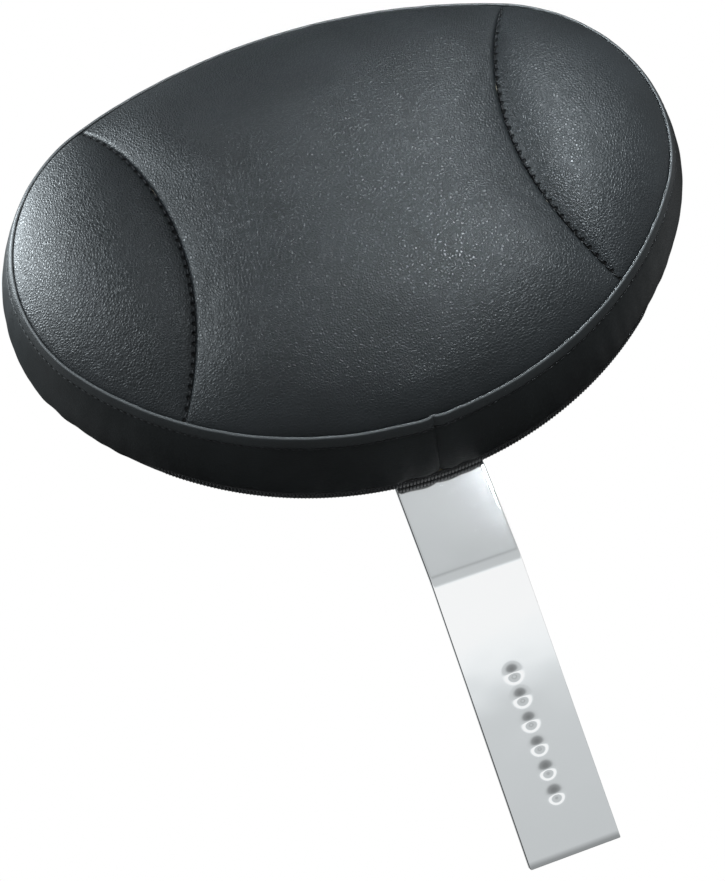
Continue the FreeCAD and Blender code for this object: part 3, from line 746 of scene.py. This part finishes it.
# Mixes the painted sheen's light grey into the band's base colour by the lip's shares.
fold_painted_sheen = node(nodes, "ShaderNodeMix", data_type="RGBA", blend_type="MIX")
fold_painted_sheen.inputs["B"].default_value = (0.075, 0.078, 0.08, 1)
links.new(lip.outputs["Color"], fold_painted_sheen.inputs["Factor"])
links.new(tones.outputs["Color"], fold_painted_sheen.inputs["A"])
links.new(fold_painted_sheen.outputs["Result"], shader.inputs["Base Color"])
band.data.materials.append(band_vinyl)
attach(band, "root")
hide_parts("cover_side_band")

# The stitches are bonded black thread. One row runs round the band below its fold, 3 mm apart.
# Along each front seam a thread goes from hole to hole, sunk between the rolled edges.
stitch_pitch, stitch_length, stitch_radius, stitch_lift = 3 * mm, 2.3 * mm, 0.3 * mm, 0.05 * mm
thread_length, thread_radius, thread_offset, thread_sink = 2.4 * mm, 0.3 * mm, 0.5 * mm, 0.72


def add_bead(points, faces, middle, along, side, length, radius):
    """Adds a short rounded thread or rib, lying along a direction, to a mesh in the making."""
    along, side = along.normalized(), side.normalized()
    up = along.cross(side)
    first = len(points)
    rings = ((-0.5, 0.35), (-0.36, 0.85), (0, 1.0), (0.36, 0.85), (0.5, 0.35))
    around = 6
    for place, girth in rings:
        for step in range(around):
            turn = 2 * math.pi * step / around
            offset = side * math.cos(turn) + up * math.sin(turn)
            points.append(middle + along * place * length + offset * girth * radius)
    for face in ring_faces(len(rings), around):
        faces.append(tuple(first + corner for corner in face))
    faces.append(tuple(first + corner for corner in reversed(range(around))))
    last = first + around * (len(rings) - 1)
    faces.append(tuple(last + corner for corner in range(around)))


def turned_out(plan_direction):
    """Direction in the frame of a plan direction on the pad."""
    return Vector((plan_direction.x, 0, 0)) + plan_direction.y * up_post


stitch_points, stitch_faces = [], []
stitch_height = rim_height - topstitch_drop
stitch_count = round(2 * oval_half_length(rim) / stitch_pitch)
for stitch in range(stitch_count):
    part = (stitch + 0.5) / stitch_count
    plan, outward = band_point(part, stitch_height)
    spot_on = plan + outward * (stitch_lift - seam_pinch(part))
    run = turned_out(Vector((-outward.y, outward.x)))
    middle = on_pad(spot_on.x, spot_on.y, stitch_height)
    add_bead(stitch_points, stitch_faces, middle, run, off_post, stitch_length, stitch_radius)
hole_turn = hole_pitch / seam_radius
first_hole = math.ceil((math.pi - seam_to) / hole_turn)
last_hole = math.floor((math.pi - seam_from) / hole_turn)
for side in (-1, 1):
    for hole in range(first_hole, last_hole):
        part = (math.pi - (hole + 0.5) * hole_turn - seam_from) / (seam_to - seam_from)
        plan, ahead = seam_point(part, side), seam_point(part + 0.01, side)
        run = (ahead - plan).normalized()
        wingward = Vector((side * seam_hub[0], seam_hub[1])) - plan
        plan = plan + wingward.normalized() * thread_offset
        depth = max(rim_depth(plan.x, plan.y), 0)
        sink = tuck_depth * thread_sink * (1 - math.exp(-depth / tuck_fade))
        middle = on_pad(plan.x, plan.y, front_height(plan.x, plan.y) - sink)
        run = turned_out(run)
        add_bead(stitch_points, stitch_faces, middle, run, off_post, thread_length, thread_radius)
stitches = mesh_piece("cover_stitches", stitch_points, stitch_faces)
thread, nodes, links, shader = new_material("black_thread")
twist = object_texture(nodes, links, "ShaderNodeTexWave", bands_direction="DIAGONAL", Scale=900)
dark_thread, light_thread = (0.004, 0.004, 0.0045, 1), (0.012, 0.012, 0.013, 1)
two_tones(nodes, links, shader, twist.outputs["Fac"], dark_thread, light_thread)
shader.inputs["Roughness"].default_value = 0.6
shader.inputs["Specular IOR Level"].default_value = 0.2
stitches.data.materials.append(thread)
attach(stitches, "root")

# The cover closes with a nylon coil zip along the lower back edge.
# Its two tapes are the CAD strips; the closed coil is a row of small rounded ribs.
coil_pitch, coil_length, rib_radius = 1.5 * mm, 4.6 * mm, 0.58 * mm
tape_thickness, cover_thickness, coil_stand = 0.6 * mm, 1.2 * mm, 0.15 * mm
coil_end, end_sink = 0.07, 0.8 * mm
zip_hub = oval_arcs(**rear)[2]
coil_radius = zip_hub[2] - cover_thickness + tape_thickness + coil_stand
coil_points, coil_faces = [], []
coil_count = int(2 * zip_half_angle * coil_radius / coil_pitch)
for rib in range(coil_count):
    turn = -math.pi / 2 - zip_half_angle + 2 * zip_half_angle * (rib + 0.5) / coil_count
    outward = Vector((math.cos(turn), math.sin(turn)))
    near_end = max(0, abs(turn + math.pi / 2) / zip_half_angle - (1 - coil_end)) / coil_end
    spot_on = Vector((zip_hub[0], zip_hub[1])) + outward * (coil_radius - end_sink * near_end)
    middle = on_pad(spot_on.x, spot_on.y, zip_width / 2)
    add_bead(coil_points, coil_faces, middle, off_post, turned_out(outward), coil_length, rib_radius)
coil = mesh_piece("zip_ribs", coil_points, coil_faces)
nylon, nodes, links, shader = new_material("black_nylon")
mould = object_texture(nodes, links, "ShaderNodeTexNoise", Scale=700, Detail=3)
nylon_gloss = ranged(nodes, links, mould.outputs["Fac"], To_Min=0.32, To_Max=0.5)
links.new(nylon_gloss.outputs["Result"], shader.inputs["Roughness"])
shader.inputs["Base Color"].default_value = (0.012, 0.0125, 0.0132, 1)
coil.data.materials.append(nylon)
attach(coil, "root")
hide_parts("zip_coil")

tape, nodes, links, shader = new_material("zip_tape_weave")
weave = object_texture(
    nodes, links, "ShaderNodeTexWave", bands_direction="X", Scale=500, Distortion=0.4
)
weave_bump = node(nodes, "ShaderNodeBump", Strength=0.4, Distance=0.1 * mm)
links.new(weave.outputs["Fac"], weave_bump.inputs["Height"])
links.new(weave_bump.outputs["Normal"], shader.inputs["Normal"])
shader.inputs["Base Color"].default_value = (0.010, 0.010, 0.011, 1)
shader.inputs["Roughness"].default_value = 0.85
for name in ("zip_front_tape", "zip_back_tape"):
    finish_node(name, tape)

# The back panel is a plain piece of the same vinyl, drawn flat over the board.
# The post lies on it, and its edge turns up into the band's seam.
back_rings, back_columns, back_inset = 26, 200, 0.6 * mm
zip_turn_up, hem_turn_up, turn_up_width = 0.9 * mm, 3 * mm, 0.45 * mm
slack_height, slack_scale, slack_edge = 0.35 * mm, 18, 6 * mm
post_clear, slack_fade = 24 * mm, 20 * mm
back_points, back_faces = [on_pad(0, 0, 0)], []
for ring in range(1, back_rings + 1):
    part_out = 1 - (1 - ring / back_rings) ** 2
    for column in range(back_columns):
        plan, outward = oval_point(rear, column / back_columns)
        spot_on = (plan - outward * back_inset) * part_out
        edge = (1 - part_out) * plan.length
        hidden = 1 - over_zip(column / back_columns)
        turn_up = zip_turn_up + (hem_turn_up - zip_turn_up) * hidden
        turn_up *= math.exp(-edge / turn_up_width)
        slack = noise.noise(Vector((spot_on.x * slack_scale, spot_on.y * slack_scale, 2.2)))
        free = min(1, max(0, (abs(spot_on.x) - post_clear) / slack_fade))
        held = 1 - math.exp(-edge / slack_edge)
        rise = turn_up + slack_height * free * held * (1 + slack)
        back_points.append(on_pad(spot_on.x, spot_on.y, rise))
for column in range(back_columns):
    after = (column + 1) % back_columns
    back_faces.append((0, 1 + after, 1 + column))
    for ring in range(back_rings - 1):
        low, high = 1 + ring * back_columns, 1 + (ring + 1) * back_columns
        back_faces.append((low + column, low + after, high + after, high + column))
back = mesh_piece("cover_back", back_points, back_faces)
back_vinyl = vinyl_material(
    "back_vinyl", (0.011, 0.0115, 0.012, 1), (0.017, 0.018, 0.019, 1), 0.5, 820, 0.18 * mm
)[0]
back.data.materials.append(back_vinyl)
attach(back, "root")
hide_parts("cover_back_panel")

# Two socket screws hold the post to the tee nuts in the board, over a flat and a split washer each.
# They are plain steel hardware, kept as the CAD solids.
steel, nodes, links, shader = new_material("plain_steel")
grime = object_texture(nodes, links, "ShaderNodeTexNoise", Scale=400, Detail=5)
steel_gloss = ranged(nodes, links, grime.outputs["Fac"], To_Min=0.2, To_Max=0.42)
links.new(steel_gloss.outputs["Result"], shader.inputs["Roughness"])
shader.inputs["Base Color"].default_value = (0.56, 0.57, 0.58, 1)
shader.inputs["Metallic"].default_value = 1
finish_node("post_screws", steel)
zinc, nodes, links, shader = new_material("zinc_plate")
spangle = object_texture(nodes, links, "ShaderNodeTexVoronoi", Scale=500)
zinc_gloss = ranged(nodes, links, spangle.outputs["Distance"], To_Min=0.28, To_Max=0.5)
links.new(zinc_gloss.outputs["Result"], shader.inputs["Roughness"])
shader.inputs["Base Color"].default_value = (0.62, 0.63, 0.65, 1)
shader.inputs["Metallic"].default_value = 1
for name in ("flat_washers", "lock_washers", "tee_nuts"):
    finish_node(name, zinc)

# The studio is a pale round floor below the part, a graded surround and three soft boxes.
# The camera sees white; the surround, brightest at the horizon, is what chrome and vinyl mirror.
floor_radius, floor_drop, floor_sides = 0.6, 0.3, 96
floor_ring = [2 * math.pi * step / floor_sides for step in range(floor_sides)]
floor_points = [
    (floor_radius * math.cos(turn), floor_radius * math.sin(turn), -floor_drop) for turn in floor_ring
]
floor = mesh_piece("floor", floor_points, [tuple(range(floor_sides))], False)
floor_paint, nodes, links, shader = new_material("pale_floor")
shader.inputs["Base Color"].default_value = (0.75, 0.76, 0.77, 1)
shader.inputs["Roughness"].default_value = 0.9
floor.data.materials.append(floor_paint)
floor.visible_glossy = False

world = bpy.data.worlds.new("studio")
bpy.context.scene.world = world
world.use_nodes = True
nodes, links = world.node_tree.nodes, world.node_tree.links
nodes.clear()
backdrop = node(nodes, "ShaderNodeBackground", Strength=1.0)
backdrop.inputs["Color"].default_value = (1, 1, 1, 1)
surround = node(nodes, "ShaderNodeBackground", Strength=1.0)
direction = node(nodes, "ShaderNodeTexCoord")
split = node(nodes, "ShaderNodeSeparateXYZ")
links.new(direction.outputs["Generated"], split.inputs[0])
to_side = figure(nodes, links, "ABSOLUTE", split.outputs["X"])
to_back, to_sky = split.outputs["Y"], split.outputs["Z"]
rise = ranged(nodes, links, to_sky, From_Min=-1, From_Max=1)
bands = node(nodes, "ShaderNodeValToRGB")
sky_bands = (
    (-1.0, 0.30),
    (-0.64, 0.22),
    (-0.38, 0.32),
    (-0.22, 0.60),
    (-0.11, 0.66),
    (-0.07, 0.95),
    (0.05, 1.05),
    (0.14, 0.60),
    (0.34, 0.58),
    (0.41, 0.42),
    (0.45, 0.58),
    (0.50, 0.62),
    (0.66, 0.28),
    (1.0, 0.46),
)
sky_tint = Vector((0.95, 0.985, 1))
sky_stops = [((height + 1) / 2, (*(grey * sky_tint), 1)) for height, grey in sky_bands]
fill_ramp(bands.color_ramp, sky_stops)
links.new(rise.outputs["Result"], bands.inputs["Fac"])
behind = ranged(nodes, links, to_back, From_Min=0.2, From_Max=0.65, To_Min=1.0, To_Max=0.06)
strip_back = ranged(nodes, links, to_back, From_Min=0.5, From_Max=0.7, To_Max=0.85)
strip = ranged(nodes, links, to_side, From_Min=0.13, From_Max=0.07)
links.new(strip_back.outputs["Result"], strip.inputs["To Max"])
below = ranged(nodes, links, to_sky, From_Min=0, From_Max=-0.1, To_Max=0.7)
beside = ranged(nodes, links, to_side, From_Min=0.58, From_Max=0.66)
links.new(below.outputs["Result"], beside.inputs["To Max"])
rear_fill = figure(nodes, links, "MAXIMUM", strip.outputs["Result"], beside.outputs["Result"])
dimmed = figure(nodes, links, "MAXIMUM", behind.outputs["Result"], rear_fill)
shaded = node(nodes, "ShaderNodeMix", data_type="RGBA", blend_type="MULTIPLY", Factor=1)
links.new(bands.outputs["Color"], shaded.inputs["A"])
links.new(dimmed, shaded.inputs["B"])
links.new(shaded.outputs["Result"], surround.inputs["Color"])
rays = node(nodes, "ShaderNodeLightPath").outputs
seen = figure(nodes, links, "MAXIMUM", rays["Is Camera Ray"], rays["Is Transmission Ray"])
off_level = figure(nodes, links, "ABSOLUTE", to_sky)
sweep_edge = ranged(nodes, links, off_level, From_Min=0.09, From_Max=0.04)
sweep = ranged(nodes, links, to_back, From_Min=0.6, From_Max=0.4)
links.new(sweep_edge.outputs["Result"], sweep.inputs["To Max"])
mirrored = figure(nodes, links, "MULTIPLY", rays["Is Glossy Ray"], sweep.outputs["Result"])
shown = figure(nodes, links, "MAXIMUM", seen, mirrored)
mixer = node(nodes, "ShaderNodeMixShader")
links.new(shown, mixer.inputs["Fac"])
links.new(surround.outputs[0], mixer.inputs[1])
links.new(backdrop.outputs[0], mixer.inputs[2])
sky_out = node(nodes, "ShaderNodeOutputWorld")
links.new(mixer.outputs[0], sky_out.inputs["Surface"])


def soft_lamp(name, place, aim, width, height, watts, spread):
    """Soft box with a grid, which holds its light to a spread of so many degrees about its aim."""
    data = bpy.data.lights.new(name, "AREA")
    data.shape, data.size, data.size_y, data.energy = "RECTANGLE", width, height, watts
    data.color, data.spread = (0.86, 0.95, 1.0), math.radians(spread)
    lamp = bpy.data.objects.new(name, data)
    lamp.location = place
    lamp.rotation_euler = (Vector(aim) - Vector(place)).to_track_quat("-Z", "Y").to_euler()
    bpy.context.scene.collection.objects.link(lamp)


soft_lamp("front_box", (0.27, -0.64, 0.67), (0.11, -0.02, 0.30), 0.18, 0.26, 0.62, 30)
soft_lamp("left_box", (-0.46, -0.24, 0.60), (-0.04, -0.02, 0.28), 0.16, 0.22, 5.2, 180)
soft_lamp("left_rim_box", (-0.92, 0.35, 1.10), (-0.12, 0, 0.28), 0.4, 0.5, 32, 180)

# The camera stands where the photograph was taken, low in front and tilted with its frame.
camera = bpy.data.objects.new("camera", bpy.data.cameras.new("camera"))
camera.data.sensor_fit = "VERTICAL"
camera.data.sensor_height = 36
camera.data.sensor_width = 36
camera.data.lens = 57.2
camera.location = (-0.0858, -0.5640, 0.1210)
camera.rotation_euler = [math.radians(turn) for turn in (96.507, 18.878, -3.897)]
bpy.context.scene.collection.objects.link(camera)
bpy.context.scene.camera = camera
bpy.context.scene.view_settings.view_transform = "Standard"
